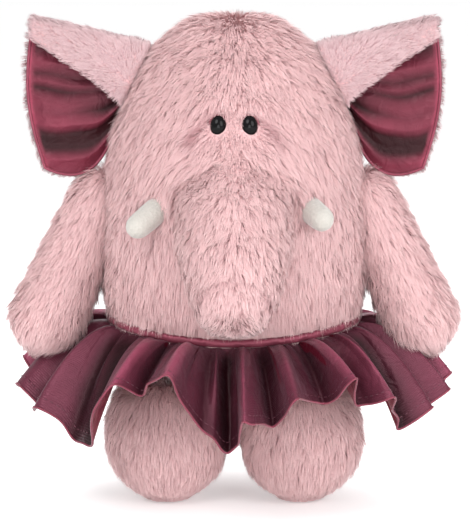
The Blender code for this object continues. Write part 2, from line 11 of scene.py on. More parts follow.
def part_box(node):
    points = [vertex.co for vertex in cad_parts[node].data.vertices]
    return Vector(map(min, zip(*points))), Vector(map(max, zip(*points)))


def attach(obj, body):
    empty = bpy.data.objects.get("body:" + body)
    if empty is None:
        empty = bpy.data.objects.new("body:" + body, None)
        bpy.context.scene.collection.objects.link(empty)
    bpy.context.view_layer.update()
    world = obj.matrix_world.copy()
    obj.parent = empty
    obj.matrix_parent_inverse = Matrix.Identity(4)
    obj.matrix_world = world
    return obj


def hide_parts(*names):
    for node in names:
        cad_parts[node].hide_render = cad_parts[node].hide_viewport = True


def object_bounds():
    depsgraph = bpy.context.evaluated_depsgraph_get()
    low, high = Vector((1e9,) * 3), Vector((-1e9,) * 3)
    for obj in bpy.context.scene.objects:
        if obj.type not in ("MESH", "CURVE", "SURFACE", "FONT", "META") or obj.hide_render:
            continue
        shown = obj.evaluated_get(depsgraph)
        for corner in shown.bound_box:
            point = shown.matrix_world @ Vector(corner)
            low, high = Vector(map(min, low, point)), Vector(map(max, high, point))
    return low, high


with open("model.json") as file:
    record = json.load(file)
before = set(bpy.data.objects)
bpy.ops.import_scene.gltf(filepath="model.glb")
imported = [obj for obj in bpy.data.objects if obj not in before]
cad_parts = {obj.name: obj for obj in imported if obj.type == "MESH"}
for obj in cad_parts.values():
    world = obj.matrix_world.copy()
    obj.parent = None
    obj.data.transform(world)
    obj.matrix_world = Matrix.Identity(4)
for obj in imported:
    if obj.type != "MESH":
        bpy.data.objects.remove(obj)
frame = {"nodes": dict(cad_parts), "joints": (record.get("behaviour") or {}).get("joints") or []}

cad_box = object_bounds()

# Sizes are in metres. The toy faces -Y, and its left is +X.
SIDES = {"left": 1, "right": -1}
UP = np.array((0.0, 0.0, 1.0))

# ================================================================ plush
PILE = 0.0085               # how long the body's fur is
EAR_PILE = 0.85 * PILE
BLADE_WIDTH = 0.00030
TUFT_SPACING = 0.0036       # between the tufts that the fur gathers into
BODY_FUR = 3.0e6            # blades in a square metre
LIMB_FUR = 3.4e6
LEG_FUR = 0.9 * LIMB_FUR
EAR_FUR = 3.6e6
TRUNK_FUR = 4.2e6
GATHERED, LIFT, STRAY = 0.44, 0.62, 0.26    # how far blades join tufts, stand up and go astray
LOW_LIFT = 0.50             # on the legs and ears, where the fur lies flatter
LIMB_VOXEL, BODY_VOXEL, SMALL_VOXEL = 0.0018, 0.0024, 0.0010

FUR_ROOT = (0.67, 0.385, 0.40, 1)
FUR_MIDDLE = (0.76, 0.475, 0.485, 1)
FUR_TIP = (0.84, 0.60, 0.60, 1)
BASE_PINK = (0.77, 0.48, 0.49, 1)
# painted shade: the dark pink of the ring round each eye stands in for the shade in its socket
SOCKET_SHADE_PINK = (0.30, 0.10, 0.12, 1)
# the trunk's coat is a little paler than the body's, and the ears' a little darker: root, middle, tip
TRUNK_COAT = ((0.66, 0.375, 0.39, 1), (0.745, 0.468, 0.477, 1), (0.82, 0.588, 0.588, 1))
EAR_COAT = ((0.54, 0.33, 0.355, 1), (0.61, 0.415, 0.435, 1), (0.66, 0.49, 0.505, 1))

# ================================================================ satin and felt
MAUVE = (0.116, 0.024, 0.043, 1)
BURGUNDY = (0.16, 0.010, 0.028, 1)
EAR_MAUVE = (0.130, 0.020, 0.036, 1)
ROSE = (0.24, 0.050, 0.080, 1)
THREAD_ROSE = (0.17, 0.055, 0.080, 1)
TUSK_WHITE, TUSK_SHADE = (0.47, 0.445, 0.41, 1), (0.43, 0.41, 0.375, 1)
BEAD_BLACK, BEAD_SPECK = (0.002, 0.002, 0.002, 1), (0.005, 0.004, 0.005, 1)
WASHER_GREY, WASHER_LIGHT = (0.5, 0.5, 0.5, 1), (0.6, 0.6, 0.6, 1)
# how the satins shine at a low angle
PINK_SHINE, RED_SHINE, WARM_SHINE = (0.9, 0.6, 0.7, 1), (0.7, 0.2, 0.3, 1), (1, 0.8, 0.8, 1)
RIB_PITCH = 0.0008          # between the skirt cloth's fine ribs
CREASE_SHADE = (0.17, 0.09, 0.11, 1)    # painted shade: multiplies the cloth's colour in its deepest creases


# ================================================================ small tools
def box_middle(node):
    low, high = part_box(node)
    return (low + high) / 2


def joint(name):
    """(place, way) of a joint."""
    found = next(j for j in frame["joints"] if j["name"] == name)
    return Vector(found["pos_m"]), Vector(found["axis"])


def unit(vectors):
    return vectors / np.maximum(np.linalg.norm(vectors, axis=-1, keepdims=True), 1e-9)


def near(points, place, radius):
    """1 at a place, falling smoothly to 0 some way past the radius."""
    return np.exp(-(np.linalg.norm(points - np.array(place), axis=1) / radius) ** 2)


def step(low, high, value):
    t = np.clip((value - low) / (high - low), 0, 1)
    return t * t * (3 - 2 * t)


def add_object(name, mesh, finish=None):
    made = bpy.data.objects.new(name, mesh)
    bpy.context.scene.collection.objects.link(made)
    if finish:
        made.data.materials.append(finish)
    mesh.shade_smooth()
    return made


def as_mesh(name, points, faces, finish):
    mesh = bpy.data.meshes.new(name)
    mesh.from_pydata([tuple(p) for p in points], [], faces)
    return add_object(name, mesh, finish)


def grid_faces(columns, rows, wrap_columns=False, wrap_rows=False):
    """Quads of a grid whose points run along the columns first."""
    faces = []
    for r in range(rows if wrap_rows else rows - 1):
        for c in range(columns if wrap_columns else columns - 1):
            c2, r2 = (c + 1) % columns, (r + 1) % rows
            faces.append((r * columns + c, r * columns + c2, r2 * columns + c2, r2 * columns + c))
    return faces


def faced_out(obj):
    bm = bmesh.new()
    bm.from_mesh(obj.data)
    bmesh.ops.recalc_face_normals(bm, faces=bm.faces)
    bm.to_mesh(obj.data)
    bm.free()
    return obj


def settled(obj):
    """The object with its modifiers made part of its mesh."""
    depsgraph = bpy.context.evaluated_depsgraph_get()
    mesh = bpy.data.meshes.new_from_object(obj.evaluated_get(depsgraph))
    obj.modifiers.clear()
    obj.data = mesh
    return obj


def tube(name, points, radius, finish, around=8, closed=False, flat=1.0):
    """A round cord of cloth along a line of points."""
    points = np.array(points)
    count = len(points)
    if closed:
        ahead, behind = np.roll(points, -1, 0), np.roll(points, 1, 0)
    else:
        ahead, behind = np.vstack((points[1:], points[-1:])), np.vstack((points[:1], points[:-1]))
    way = unit(ahead - behind)
    side = unit(np.cross(way, UP + 0.01))
    over = np.cross(side, way)
    rings = []
    for k in range(around):
        turn = math.tau * k / around
        rings.append(points + radius * (math.cos(turn) * flat * side + math.sin(turn) * over))
    ring_points = np.array(rings).transpose(1, 0, 2).reshape(-1, 3)
    faces = grid_faces(around, count, wrap_columns=True, wrap_rows=closed)
    if not closed:
        faces += [tuple(range(around)), tuple(range((count - 1) * around, count * around))]
    return faced_out(as_mesh(name, ring_points, faces, finish))


# ================================================================ finishes
def finish(name, **settings):
    """A new material, its Principled shader's plain settings given by name."""
    made = bpy.data.materials.new(name)
    made.use_nodes = True
    nodes = made.node_tree
    shader = nodes.nodes["Principled BSDF"]
    for label, value in settings.items():
        shader.inputs[label.replace("_", " ")].default_value = value
    return made, nodes, shader


def node(tree, kind, inputs=(), **settings):
    """A node with its settings, and its sockets fed by values or other sockets."""
    made = tree.nodes.new(kind)
    for label, value in settings.items():
        setattr(made, label, value)
    for key, value in dict(inputs).items():
        if isinstance(value, bpy.types.NodeSocket):
            tree.links.new(value, made.inputs[key])
        else:
            made.inputs[key].default_value = value
    return made


def ramp(tree, factor, stops):
    made = node(tree, "ShaderNodeValToRGB", {0: factor})
    elements = made.color_ramp.elements
    while len(elements) < len(stops):
        elements.new(0.5)
    for element, (place, colour) in zip(elements, stops):
        element.position, element.color = place, colour
    return made.outputs[0]


def noise(tree, scale, detail=2.0, stretch=(1, 1, 1), source="Object", distortion=0.0):
    place = node(tree, "ShaderNodeTexCoord").outputs[source]
    place = node(tree, "ShaderNodeMapping", {0: place, 3: stretch}).outputs[0]
    return node(tree, "ShaderNodeTexNoise", {"Vector": place, "Scale": scale, "Detail": detail,
                                             "Distortion": distortion}).outputs[0]


def bump(tree, shader, height, distance, strength=1.0):
    made = node(tree, "ShaderNodeBump", {"Height": height, "Distance": distance, "Strength": strength})
    tree.links.new(made.outputs[0], shader.inputs["Normal"])


def mixed(tree, factor, first, second, blend="MIX"):
    return node(tree, "ShaderNodeMix", {0: factor, 6: first, 7: second},
                data_type="RGBA", blend_type=blend).outputs[2]


def fur_finish(name, root, middle, tip):
    """Dark at the root, light at the tip, each blade and tuft a little different."""
    made, tree, shader = finish(name, Roughness=0.62, Sheen_Weight=0.25, Sheen_Roughness=0.5,
                                Specular_IOR_Level=0.25)
    along = node(tree, "ShaderNodeAttribute", attribute_name="root_to_tip").outputs["Fac"]
    tint = node(tree, "ShaderNodeAttribute", attribute_name="tint").outputs["Fac"]
    colour = ramp(tree, along, ((0.0, root), (0.45, middle), (1.0, tip)))
    shade = ramp(tree, tint, ((0.0, (0.60, 0.46, 0.48, 1)), (0.2, (0.88, 0.83, 0.84, 1)),
                              (0.6, (0.98, 0.97, 0.97, 1)), (1.0, (1.05, 1.05, 1.04, 1))))
    tree.links.new(mixed(tree, 1.0, colour, shade, "MULTIPLY"), shader.inputs["Base Color"])
    return made


def plush_base(name, colour):
    """The short pile and backing between the long blades."""
    made, tree, shader = finish(name, Roughness=0.9, Sheen_Weight=0.5, Sheen_Roughness=0.5,
                                Specular_IOR_Level=0.1)
    deep = tuple(0.6 * c for c in colour[:3]) + (1,)
    fleck = noise(tree, 900, 3)
    tree.links.new(ramp(tree, fleck, ((0.35, deep), (0.65, colour))), shader.inputs["Base Color"])
    bump(tree, shader, fleck, 0.0008)
    return made


def satin_finish(name, colour, shine, grain=(1, 1, 1), crease=0.0012, fold_light=0.0, rib=0.0):
    """Satin: soft broad highlights in its own colour, fine weave and small creases.

    Given a crest strength it has a painted highlight where the cloth's own folds stand up and painted shade
    in its creases, and with a rib it has fine ribs that many metres apart along its run."""
    made, tree, shader = finish(name, Metallic=0.30, Roughness=0.34, Sheen_Weight=0.12,
                                Sheen_Roughness=0.35, Specular_IOR_Level=0.22)
    shader.inputs["Sheen Tint"].default_value = shine
    wide = noise(tree, 55, 3, grain)
    cloth = ramp(tree, wide, ((0.3, tuple(0.72 * c for c in colour[:3]) + (1,)), (0.7, colour)))
    if fold_light:
        # painted light: the folds' heights darken the cloth by the crease shade where they sink and brighten
        # it where they stand up
        height = node(tree, "ShaderNodeAttribute", attribute_name="fold_light").outputs["Fac"]
        shade = ramp(tree, height, ((0.12, CREASE_SHADE), (0.48, (1, 1, 1, 1)), (0.72, (1.3, 1.3, 1.3, 1)),
                                (0.96, (fold_light,) * 3 + (1,))))
        cloth = mixed(tree, 1.0, cloth, shade, "MULTIPLY")
    tree.links.new(cloth, shader.inputs["Base Color"])
    creases = noise(tree, 120, 4, grain, distortion=0.6)
    weave = noise(tree, 2600, 1)
    height = node(tree, "ShaderNodeMath", {0: weave, 1: 0.06, 2: creases},
                  operation="MULTIPLY_ADD").outputs[0]
    if rib:
        run = node(tree, "ShaderNodeAttribute", attribute_name="run").outputs["Fac"]
        turns = node(tree, "ShaderNodeMath", {0: run, 1: math.tau / rib}, operation="MULTIPLY").outputs[0]
        ridge = node(tree, "ShaderNodeMath", {0: turns}, operation="SINE").outputs[0]
        height = node(tree, "ShaderNodeMath", {0: ridge, 1: 0.035, 2: height},
                      operation="MULTIPLY_ADD").outputs[0]
    bump(tree, shader, height, crease)
    return made


# ================================================================ skins under the fur
def skin(name, nodes, voxel, rounds, bridge=None):
    """One closed skin round these CAD nodes, its facets and seams smoothed out.

    A bridge is points whose hull fills the hollow between two of the nodes."""
    bm = bmesh.new()
    for label in nodes:
        bm.from_mesh(frame["nodes"][label].data)
    if bridge:
        between = bmesh.new()
        verts = [between.verts.new(p) for p in bridge]
        hull = bmesh.ops.convex_hull(between, input=verts)
        inside = [g for g in hull["geom_interior"] if isinstance(g, bmesh.types.BMVert)]
        bmesh.ops.delete(between, geom=inside, context="VERTS")
        filler = bpy.data.meshes.new("bridge")
        between.to_mesh(filler)
        between.free()
        bm.from_mesh(filler)
        bpy.data.meshes.remove(filler)
    bmesh.ops.remove_doubles(bm, verts=bm.verts, dist=1e-6)
    mesh = bpy.data.meshes.new(name)
    bm.to_mesh(mesh)
    bm.free()
    made = add_object(name, mesh)
    remesh = made.modifiers.new("one skin", "REMESH")
    remesh.mode, remesh.voxel_size, remesh.use_smooth_shade = "VOXEL", voxel, True
    settled(made)
    keep_largest(made)
    smooth = made.modifiers.new("soft", "SMOOTH")
    smooth.factor, smooth.iterations = 0.5, rounds
    return settled(made)


def keep_largest(obj):
    """Leaves only the outermost shell."""
    bm = bmesh.new()
    bm.from_mesh(obj.data)
    left, best = set(bm.verts), []
    while left:
        found, todo = [], [left.pop()]
        while todo:
            vert = todo.pop()
            found.append(vert)
            for edge in vert.link_edges:
                other = edge.other_vert(vert)
                if other in left:
                    left.remove(other)
                    todo.append(other)
        if len(found) > len(best):
            best = found
    keep = set(best)
    bmesh.ops.delete(bm, geom=[v for v in bm.verts if v not in keep], context="VERTS")
    bm.to_mesh(obj.data)
    bm.free()


def points_of(obj):
    co = np.zeros(len(obj.data.vertices) * 3)
    obj.data.vertices.foreach_get("co", co)
    return co.reshape(-1, 3)


def normals_of(obj):
    co = np.zeros(len(obj.data.vertices) * 3)
    obj.data.vertex_normals.foreach_get("vector", co)
    return co.reshape(-1, 3)


def move_points(obj, points):
    obj.data.vertices.foreach_set("co", points.ravel())
    obj.data.update()


def swell(obj, *bumps):
    """Pushes a skin out along its normals by a height at each (place, radius, height)."""
    points, normals = points_of(obj), normals_of(obj)
    height = sum(h * near(points, place, radius) for place, radius, h in bumps)
    move_points(obj, points + normals * height[:, None])


def laid(way, normals):
    """A way turned along the surface, weak where it points straight in or out, so fur stands up there."""
    along = way - normals * np.sum(way * normals, axis=1, keepdims=True)
    return along / np.maximum(np.linalg.norm(along, axis=1, keepdims=True), 0.55)


def keep(obj, label, values):
    """Stores a number or a vector for each point of a skin."""
    values = np.asarray(values, np.float32)
    vector = values.ndim == 2
    made = obj.data.attributes.new(label, "FLOAT_VECTOR" if vector else "FLOAT", "POINT")
    made.data.foreach_set("vector" if vector else "value", values.ravel())


# ================================================================ fur
class Maker:
    """Adds nodes to a geometry tree, with plain sums for vectors and numbers."""

    def __init__(self, name):
        self.tree = bpy.data.node_groups.new(name, "GeometryNodeTree")
        face = self.tree.interface
        face.new_socket("Geometry", in_out="INPUT", socket_type="NodeSocketGeometry")
        face.new_socket("Geometry", in_out="OUTPUT", socket_type="NodeSocketGeometry")
        self.entry = self.tree.nodes.new("NodeGroupInput")

    def size(self, name, kind="Float"):
        self.tree.interface.new_socket(name, in_out="INPUT", socket_type="NodeSocket" + kind)
        return self.entry.outputs[name]

    def node(self, kind, inputs=(), **settings):
        return node(self.tree, kind, inputs, **settings)

    def vector(self, operation, first, second=None, scale=None, out=0):
        inputs = {0: first}
        if second is not None:
            inputs[1] = second
        if scale is not None:
            inputs[3] = scale
        return self.node("ShaderNodeVectorMath", inputs, operation=operation).outputs[out]

    def plus(self, *vectors):
        total = vectors[0]
        for other in vectors[1:]:
            total = self.vector("ADD", total, other)
        return total

    def times(self, vector, scale):
        return self.vector("SCALE", vector, scale=scale)

    def between(self, first, second, share):
        return self.plus(first, self.times(self.vector("SUBTRACT", second, first), share))

    def sum(self, operation, first, second=0.0, third=0.0):
        return self.node("ShaderNodeMath", {0: first, 1: second, 2: third},
                         operation=operation).outputs[0]

    def stored(self, name, kind="FLOAT"):
        return self.node("GeometryNodeInputNamedAttribute", {"Name": name}, data_type=kind).outputs[0]

    def store(self, geometry, name, value, kind="FLOAT", domain="POINT"):
        return self.node("GeometryNodeStoreNamedAttribute",
                         {"Geometry": geometry, "Name": name, "Value": value},
                         data_type=kind, domain=domain).outputs[0]

    def chance(self, low, high, seed, kind="FLOAT"):
        if kind == "FLOAT":
            return self.node("FunctionNodeRandomValue", {2: low, 3: high, 8: seed}).outputs[1]
        return self.node("FunctionNodeRandomValue", {0: (low,) * 3, 1: (high,) * 3, 8: seed},
                         data_type="FLOAT_VECTOR").outputs[0]

    def result(self, geometry):
        end = self.tree.nodes.new("NodeGroupOutput")
        self.tree.links.new(geometry, end.inputs[0])
        return self.tree


def fur_tree():
    """Blades of fur on a skin that carries lay, pile and cover at its points.

    Each blade bends from the skin's normal into the lay, and its tip is drawn towards the tip of the
    nearest tuft."""
    m = Maker("long_pile")
    density, length, width, spacing = (m.size(n) for n in ("Blades", "Pile", "Width", "Tuft spacing"))
    gathered, lift, stray = (m.size(n) for n in ("Gathered", "Lift", "Stray"))
    seed, coat = m.size("Seed", "Int"), m.size("Finish", "Material")
    here = m.node("GeometryNodeInputPosition").outputs[0]

    def rooted(method, salt, **sizes):
        inputs = {"Mesh": m.entry.outputs[0], "Seed": m.sum("ADD", seed, salt), **sizes}
        spread = m.node("GeometryNodeDistributePointsOnFaces", inputs, distribute_method=method)
        return m.store(spread.outputs[0], "out", spread.outputs[1], "FLOAT_VECTOR")

    def own_tip(salt, wander):
        """Where a blade or a tuft would end on its own."""
        out, lay, pile = m.stored("out", "FLOAT_VECTOR"), m.stored("lay", "FLOAT_VECTOR"), m.stored("pile")
        reach = m.sum("MULTIPLY", m.sum("MULTIPLY", length, pile), m.chance(0.72, 1.12, salt))
        way = m.plus(m.times(out, lift), lay, m.times(m.chance(-1, 1, salt + 1, "VECTOR"), wander))
        return m.plus(here, m.times(m.vector("NORMALIZE", way), reach)), reach

    tufts = rooted("POISSON", 7, **{"Distance Min": spacing, "Density Max": 4e5})
    tufts = m.store(tufts, "tuft_tip", own_tip(11, 0.5)[0], "FLOAT_VECTOR")
    tufts = m.store(tufts, "tuft_tint", m.chance(0.0, 1.0, 17))

    blades = rooted("RANDOM", 0, Density=m.sum("MULTIPLY", density, m.stored("cover")))
    tip, reach = own_tip(23, stray)
    which = m.node("GeometryNodeSampleNearest", {0: tufts, 1: here}).outputs[0]

    def of_tuft(value, kind):
        return m.node("GeometryNodeSampleIndex", {0: tufts, 1: value, 2: which}, data_type=kind).outputs[0]

    tuft_root, tuft_tip = of_tuft(here, "FLOAT_VECTOR"), of_tuft(m.stored("tuft_tip", "FLOAT_VECTOR"),
                                                                "FLOAT_VECTOR")
    drawn = m.plus(tuft_tip, m.times(m.vector("SUBTRACT", here, tuft_root), 0.3))
    hold = m.sum("MULTIPLY", gathered, m.chance(0.45, 1.0, 31))
    blades = m.store(blades, "root", here, "FLOAT_VECTOR")
    blades = m.store(blades, "tip", m.between(tip, drawn, hold), "FLOAT_VECTOR")
    blades = m.store(blades, "reach", reach)
    tint = m.sum("MULTIPLY_ADD", of_tuft(m.stored("tuft_tint"), "FLOAT"), 0.35,
                 m.sum("MULTIPLY_ADD", m.chance(0, 1, 37), 0.45, 0.2))
    tint = m.sum("MULTIPLY", tint, m.sum("SUBTRACT", 1.0, m.stored("shadow")))
    blades = m.store(blades, "tint", tint)
    blades = m.store(blades, "roll", m.chance(-1, 1, 41, "VECTOR"), "FLOAT_VECTOR")

    blade = m.node("GeometryNodeMeshGrid", {0: 1.0, 1: 1.0, 2: 2, 3: 3}).outputs[0]
    x, y = (m.node("ShaderNodeSeparateXYZ", {0: here}).outputs[k] for k in (0, 1))
    blade = m.store(blade, "across", x)
    blade = m.store(blade, "root_to_tip", m.sum("ADD", y, 0.5))
    made = m.node("GeometryNodeInstanceOnPoints", {0: blades, 2: blade}).outputs[0]
    made = m.node("GeometryNodeRealizeInstances", {0: made}).outputs[0]

    t, across = m.stored("root_to_tip"), m.stored("across")
    root, end = m.stored("root", "FLOAT_VECTOR"), m.stored("tip", "FLOAT_VECTOR")
    out = m.stored("out", "FLOAT_VECTOR")
    whole = m.vector("SUBTRACT", end, root)
    knee = m.plus(root, m.times(out, m.sum("MULTIPLY", m.stored("reach"), 0.42)), m.times(whole, 0.22))
    line = m.between(m.between(root, knee, t), m.between(knee, end, t), t)
    facing = m.plus(out, m.times(m.stored("roll", "FLOAT_VECTOR"), 0.7))
    side = m.vector("NORMALIZE", m.vector("CROSS_PRODUCT", whole, facing))
    taper = m.sum("MULTIPLY_ADD", m.sum("POWER", t, 1.4), -0.85, 1.0)
    broad = m.sum("MULTIPLY", m.sum("MULTIPLY", width, taper), across)
    place = m.plus(line, m.times(side, broad))
    apart = m.node("ShaderNodeSeparateXYZ", {0: place})
    above = m.node("ShaderNodeCombineXYZ", {0: apart.outputs[0], 1: apart.outputs[1],
                                            2: m.sum("MAXIMUM", apart.outputs[2], 0.0005)})
    made = m.node("GeometryNodeSetPosition", {"Geometry": made, "Position": above.outputs[0]}).outputs[0]
    own = m.vector("NORMALIZE", m.vector("CROSS_PRODUCT", side, whole))
    soft = m.vector("NORMALIZE", m.plus(m.times(out, 1.0), m.times(own, 0.35),
                                        m.times(m.vector("NORMALIZE", whole), 0.25)))
    made = m.node("GeometryNodeSetShadeSmooth", {0: made}).outputs[0]
    shaded = m.node("GeometryNodeSetMeshNormal", {"Mesh": made}, mode="FREE", domain="POINT")
    m.tree.links.new(soft, shaded.inputs["Custom Normal"])
    made = shaded.outputs[0]
    patch = m.node("ShaderNodeCombineXYZ", {
        0: m.sum("MULTIPLY_ADD", m.stored("tint"), 0.9, m.sum("MULTIPLY_ADD", across, 0.02, 0.05)),
        1: m.sum("MULTIPLY_ADD", t, 0.96, 0.02)})
    made = m.store(made, "OFBake", patch.outputs[0], "FLOAT2", "CORNER")
    for name in ("out", "lay", "pile", "cover", "shadow", "root", "tip", "reach", "roll", "across"):
        made = m.node("GeometryNodeRemoveAttribute", {"Geometry": made, "Name": name}).outputs[0]
    made = m.node("GeometryNodeSetMaterial", {"Geometry": made, "Material": coat}).outputs[0]
    return m.result(made)


def grow(name, on, tree, body, **sizes):
    """Grows one piece of fur on a skin and lets it ride on a body."""
    made = add_object(name, on.data.copy())
    made.data.materials.clear()
    modifier = made.modifiers.new("fur", "NODES")
    modifier.node_group = tree
    inputs = {s.name: s.identifier for s in tree.interface.items_tree if s.in_out == "INPUT"}
    for label, value in sizes.items():
        modifier[inputs[label.replace("_", " ")]] = value
    settled(made)
    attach(made, body)
    return made


# ================================================================ body
WAIST_SIDE_RISE = 0.0065    # how much higher the piping sits at the sides
WAIST_FRONT_DROP = 0.003


def waist_rise(turn):
    """How far the piping stands above its middle height at a turn from the front."""
    return WAIST_SIDE_RISE * np.sin(turn) ** 2 - WAIST_FRONT_DROP * np.cos(turn)


def eye_middle(side):
    """The middle of the shown bead, a little nearer the bridge than the CAD eye's own middle."""
    found = box_middle(f"{side}_eye")
    found.x *= 0.88
    return found


BODY_NODES = ["left_body_panel", "right_body_panel", "body_stuffing"]
TRUNK_NODES = ["left_trunk_panel", "right_trunk_panel", "trunk_tip_panel", "trunk_stuffing"]
SNOUT_LOW, SNOUT_HIGH = 0.136, 0.150   # between these heights the trunk's sides come away from the face


def face_form():
    """The body and trunk as one softened form, which the skins of both meet at the trunk's root."""
    root = [v.co for n in TRUNK_NODES[:2] for v in frame["nodes"][n].data.vertices
            if v.co.z > SNOUT_LOW + 0.006 and v.co.y < -0.052]
    face = [v.co for n in BODY_NODES[:2] for v in frame["nodes"][n].data.vertices
            if abs(v.co.x) < 0.030 and v.co.y < 0 and SNOUT_HIGH + 0.010 < v.co.z < 0.188 - 0.5 * abs(v.co.x)]
    form = skin("face_form", BODY_NODES + TRUNK_NODES, BODY_VOXEL, 26, bridge=root + face)
    tree = BVHTree.FromPolygons([v.co for v in form.data.vertices],
                                [tuple(p.vertices) for p in form.data.polygons])
    bpy.data.objects.remove(form)
    return tree


def filled(obj, form, under=0.0):
    """Brings a skin out to the softened form where the trunk's root would leave a gap under it.

    With an under the skin is brought back in as well, and ends that far below the form at the top."""
    points = points_of(obj)
    for k, point in enumerate(points):
        share = step(SNOUT_LOW, SNOUT_HIGH, point[2]) * (1 - step(0.030, 0.040, abs(point[0])))
        if share > 0 and point[1] < 0:
            spot, out, _, far = form.find_nearest(Vector(point))
            if under or (Vector(point) - spot).dot(out) < 0:
                share *= 1 - step(0.012, 0.020, far)
                spot -= out * under * step(SNOUT_HIGH, SNOUT_HIGH + 0.014, point[2])
                points[k] = point * (1 - share) + np.array(spot) * share
    move_points(obj, points)


def make_body(form):
    """The body and head's skin, with the fur's lay, length, cover and shadow on it."""
    made = skin("body_skin", BODY_NODES, BODY_VOXEL, 22)
    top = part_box("left_body_panel")[1].z
    eyes = {side: np.array(eye_middle(side)) for side in SIDES}
    eye = eyes["left"]
    bridge = np.array((0, eye[1] - 0.001, eye[2] - 0.017))
    bumps = [((0, 0, top), 0.0065, -0.0012), (bridge, 0.012, 0.0035)]
    for side, sign in SIDES.items():
        bumps += [((sign * 0.012, -0.004, top - 0.001), 0.010, 0.0015),
                  (eyes[side], 0.0075, -0.0030),
                  (eyes[side] + (sign * 0.006, 0.002, 0.0115), 0.008, 0.0026),
                  ((sign * 0.040, -0.040, 0.150), 0.022, 0.0015)]
    swell(made, *bumps)
    filled(made, form)
    points, normals = points_of(made), normals_of(made)

    # the fur runs down, parts at the crown's seam, and turns away from the eyes and the trunk's bridge
    way = np.tile((0.0, 0.0, -1.0), (len(points), 1))
    crown = step(top - 0.05, top - 0.004, points[:, 2])
    way[:, 0] += (np.tanh(points[:, 0] / 0.010) * 0.7 + points[:, 0] / 0.04) * crown
    way[:, 1] += (points[:, 1] - 0.004) / 0.045 * crown
    face = near(points, bridge, 0.03)
    way[:, 0] += 0.6 * face * points[:, 0] / 0.02
    for side in SIDES:
        away = unit(points - eyes[side])
        brow = np.where(away[:, 2] > 0.1, 0.25, 1.0)
        way += 2.6 * (near(points, eyes[side], 0.010) * brow)[:, None] * away
    lay = laid(way, normals)
    pile = np.ones(len(points))
    for side in SIDES:
        pile *= 1 - 0.72 * near(points, eyes[side], 0.0100)
    pile *= 1 - 0.35 * near(points, bridge, 0.016)
    pile *= 1 - 0.40 * near(points, np.array((0, 0.004, top)), 0.014)
    band_low, band_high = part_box("waistband")
    turned = np.arctan2(points[:, 0], -points[:, 1])
    waist = (band_low.z + band_high.z) / 2 + waist_rise(turned)
    above = points[:, 2] - waist
    pile *= 0.3 + 0.7 * step(-0.002, 0.003, above)
    cover = 0.25 + 0.75 * step(-0.002, 0.002, above)
    for side in SIDES:
        far = np.hypot(points[:, 0] - eyes[side][0], (points[:, 2] - eyes[side][2]) * 0.82)
        cover *= np.where((points[:, 1] < 0) & (far < 0.0046), 0, 1)
    keep(made, "lay", lay)
    keep(made, "pile", pile)
    keep(made, "cover", cover)
    keep(made, "whole_cover", cover)
    shadow = np.zeros(len(points))
    for side, sign in SIDES.items():
        for aside, above in ((0.002, 0.0060), (0.0065, 0.004), (0.0085, -0.001), (0.0110, -0.005)):
            shadow = np.maximum(shadow, near(points, eyes[side] + (sign * aside, 0, above), 0.0056))
    keep(made, "shadow", shadow)
    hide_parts(*BODY_NODES)
    return made


def quarters(obj):
    """The skin's cover, shared out between four pieces of fur."""
    points = points_of(obj)
    cover = np.zeros(len(points), np.float32)
    obj.data.attributes["whole_cover"].data.foreach_get("value", cover)
    right, back = (points[:, 0] < 0).astype(float), (points[:, 1] > 0).astype(float)
    return {"front_left": cover * (1 - right) * (1 - back), "front_right": cover * right * (1 - back),
            "back_left": cover * (1 - right) * back, "back_right": cover * right * back}


# ================================================================ limbs
def make_limb(name, nodes, body, way_of, pile_of=None, cover_of=None, fuller=0.0, shape=None):
    """A stuffed limb's skin with the fur's lay on it, fuller than the CAD skin by that much."""
    made = skin(name, nodes, LIMB_VOXEL, 14)
    move_points(made, points_of(made) + normals_of(made) * fuller)
    if shape:
        shape(made)
    points, normals = points_of(made), normals_of(made)
    way = way_of(points, normals)
    keep(made, "lay", laid(way, normals))
    keep(made, "pile", pile_of(points, normals) if pile_of else np.ones(len(points)))
    keep(made, "cover", cover_of(points, normals) if cover_of else np.ones(len(points)))
    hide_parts(*nodes)
    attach(made, body)
    return made


# ================================================================ ears
EAR_ROOT_LOW, EAR_ROOT_HIGH = np.array((0.0584, 0.1975)), np.array((0.0439, 0.2265))
EAR_LOBE_PULL, EAR_LOBE = np.array((0.009, -0.0410)), np.array((0.0365, -0.0265))
EAR_TIP = np.array((0.057, 0.013))
EAR_SWEEP = -0.007          # how far the tip comes forward
EDGE_RADIUS = 0.0008        # of the rolled edge round the satin


def ear_place(side, u, v, depth):
    """A point on the front of the ear: u from the root out, v from the lower edge up to the fold."""
    low = EAR_ROOT_LOW + 2 * u * (1 - u) * EAR_LOBE_PULL + u * u * EAR_LOBE
    high = EAR_ROOT_HIGH + u * EAR_TIP
    flat = low + (high - low) * v
    out = 0.005 * u * u * math.sin(math.pi * v)
    return np.array((SIDES[side] * (flat[0] + out), -0.002 + EAR_SWEEP * u * u - depth, flat[1]))


# the satin's bands of cloth as (place from the lower edge to the fold, height at the outer edge, at the root)
EAR_BANDS = [(0.00, 0.72, 0.60), (0.09, 0.75, 0.62), (0.155, 0.20, 0.20), (0.21, 0.02, 0.00),
             (0.29, 0.18, 0.02), (0.345, 0.72, 0.62), (0.40, 0.66, 0.20), (0.44, 0.48, 0.02),
             (0.50, 0.60, 0.22), (0.555, 0.42, 0.34), (0.60, 0.14, 0.30), (0.65, 0.50, 0.36),
             (0.705, 0.22, 0.34), (0.79, 0.62, 0.46), (0.86, 0.34, 0.62), (0.92, 0.18, 0.66),
             (1.00, 0.30, 0.05)]


